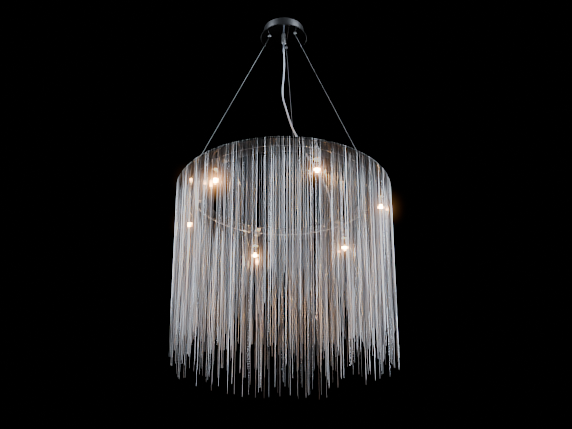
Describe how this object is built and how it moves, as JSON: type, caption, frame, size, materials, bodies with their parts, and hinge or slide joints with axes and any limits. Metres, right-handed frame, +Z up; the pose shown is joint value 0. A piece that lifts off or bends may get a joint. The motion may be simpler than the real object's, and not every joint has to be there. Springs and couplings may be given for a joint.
{
  "type": "pendant light",
  "caption": "Round pendant light: a mirror-faced canopy, suspension wires and a cord carry a flat ring with capsule lamps and a deep fringe of fine metal chains.",
  "frame": {"origin": "centre of the face that lies against the ceiling, on top of the ceiling bracket", "axes": "+Z up, out of the ceiling face and along the light's own axis; +X to the right and +Y away from a viewer in front, who sees the cord come down on the far right side"},
  "size_m": [0.6, 0.6, 1.1079],
  "materials": {
    "mirror_steel": "mirror polish",
    "brushed_steel": "fine circular brushing",
    "chrome": "bright chrome",
    "zinc_plate": "zinc plated",
    "wire_steel": "stranded steel wire",
    "chain_metal": "bright fine chain",
    "brass": "turned",
    "ceramic": "unglazed",
    "lit_glass": "clear, lit warm",
    "white_plastic": "moulded",
    "clear_cord": "clear jacket over silver braid",
    "glass_sleeve": "woven heat sleeve",
    "brown_core": "core insulation",
    "blue_core": "core insulation",
    "green_core": "core insulation"
  },
  "bodies": {
    "canopy": {"ceiling_bracket": "zinc_plate", "canopy_drum": "brushed_steel", "canopy_plate": "mirror_steel", "drum_screw_right": "chrome", "drum_screw_left": "chrome", "cord_grip": "chrome", "cord_grip_nut": "brass", "wire_gripper_1": "chrome", "wire_gripper_2": "chrome", "wire_gripper_3": "chrome", "gripper_nut_1": "brass", "gripper_nut_2": "brass", "gripper_nut_3": "brass", "terminal_block": "white_plastic", "earth_screw": "brass", "lead_live": "brown_core", "lead_neutral": "blue_core", "lead_earth": "green_core"},
    "nipple_1": {"release_nipple_1": "chrome"},
    "nipple_2": {"release_nipple_2": "chrome"},
    "nipple_3": {"release_nipple_3": "chrome"},
    "wire_1": {"suspension_wire_1": "wire_steel", "wire_end_1": "chrome"},
    "wire_2": {"suspension_wire_2": "wire_steel", "wire_end_2": "chrome"},
    "wire_3": {"suspension_wire_3": "wire_steel", "wire_end_3": "chrome"},
    "shade": {"ring_plate": "mirror_steel", "chain_fringe_right": "chain_metal", "chain_fringe_back": "chain_metal", "chain_fringe_left": "chain_metal", "chain_fringe_front": "chain_metal", "cable_anchor_1": "chrome", "cable_anchor_2": "chrome", "cable_anchor_3": "chrome", "holder_bracket_1": "zinc_plate", "holder_bracket_2": "zinc_plate", "holder_bracket_3": "zinc_plate", "holder_bracket_4": "zinc_plate", "holder_bracket_5": "zinc_plate", "holder_bracket_6": "zinc_plate", "lampholder_1": "ceramic", "lampholder_2": "ceramic", "lampholder_3": "ceramic", "lampholder_4": "ceramic", "lampholder_5": "ceramic", "lampholder_6": "ceramic", "junction_cover": "brushed_steel", "junction_terminal": "white_plastic", "cord_gland": "chrome", "power_cord": "clear_cord", "wiring_harness": "glass_sleeve"},
    "bulb_1": {"bulb_1": "lit_glass"},
    "bulb_2": {"bulb_2": "lit_glass"},
    "bulb_3": {"bulb_3": "lit_glass"},
    "bulb_4": {"bulb_4": "lit_glass"},
    "bulb_5": {"bulb_5": "lit_glass"},
    "bulb_6": {"bulb_6": "lit_glass"}
  },
  "joints": [
    {"name": "shade_twist", "type": "hinge", "parent": "canopy", "child": "shade", "pos_m": [0, 0, 0], "axis": [0, 0, 1], "range_deg": [-6, 6], "stiffness_Nm_per_rad": 1.1},
    {"name": "wire_1_swivel", "type": "hinge", "parent": "canopy", "child": "wire_1", "pos_m": [0.00851, 0.04419, -0.0396], "axis": [0, 0, 1], "range_deg": [-7.3, 7.3]},
    {"name": "wire_2_swivel", "type": "hinge", "parent": "canopy", "child": "wire_2", "pos_m": [-0.04252, -0.01473, -0.0396], "axis": [0, 0, 1], "range_deg": [-7.3, 7.3]},
    {"name": "wire_3_swivel", "type": "hinge", "parent": "canopy", "child": "wire_3", "pos_m": [0.03401, -0.02946, -0.0396], "axis": [0, 0, 1], "range_deg": [-7.3, 7.3]},
    {"name": "nipple_1_press", "type": "slide", "parent": "canopy", "child": "nipple_1", "axis": [0, 0, 1], "range_m": [0, 0.0015], "stiffness_N_per_m": 300, "springref_m": -0.002},
    {"name": "nipple_2_press", "type": "slide", "parent": "canopy", "child": "nipple_2", "axis": [0, 0, 1], "range_m": [0, 0.0015], "stiffness_N_per_m": 300, "springref_m": -0.002},
    {"name": "nipple_3_press", "type": "slide", "parent": "canopy", "child": "nipple_3", "axis": [0, 0, 1], "range_m": [0, 0.0015], "stiffness_N_per_m": 300, "springref_m": -0.002},
    {"name": "bulb_1_pull", "type": "slide", "parent": "shade", "child": "bulb_1", "axis": [0, 0, -1], "range_m": [0, 0.013]},
    {"name": "bulb_2_pull", "type": "slide", "parent": "shade", "child": "bulb_2", "axis": [0, 0, -1], "range_m": [0, 0.013]},
    {"name": "bulb_3_pull", "type": "slide", "parent": "shade", "child": "bulb_3", "axis": [0, 0, -1], "range_m": [0, 0.013]},
    {"name": "bulb_4_pull", "type": "slide", "parent": "shade", "child": "bulb_4", "axis": [0, 0, -1], "range_m": [0, 0.013]},
    {"name": "bulb_5_pull", "type": "slide", "parent": "shade", "child": "bulb_5", "axis": [0, 0, -1], "range_m": [0, 0.013]},
    {"name": "bulb_6_pull", "type": "slide", "parent": "shade", "child": "bulb_6", "axis": [0, 0, -1], "range_m": [0, 0.013]}
  ],
  "couplings": [
    {"joint": "wire_1_swivel", "follows": "shade_twist", "ratio": 1.1982},
    {"joint": "wire_2_swivel", "follows": "shade_twist", "ratio": 1.1982},
    {"joint": "wire_3_swivel", "follows": "shade_twist", "ratio": 1.1982}
  ]
}
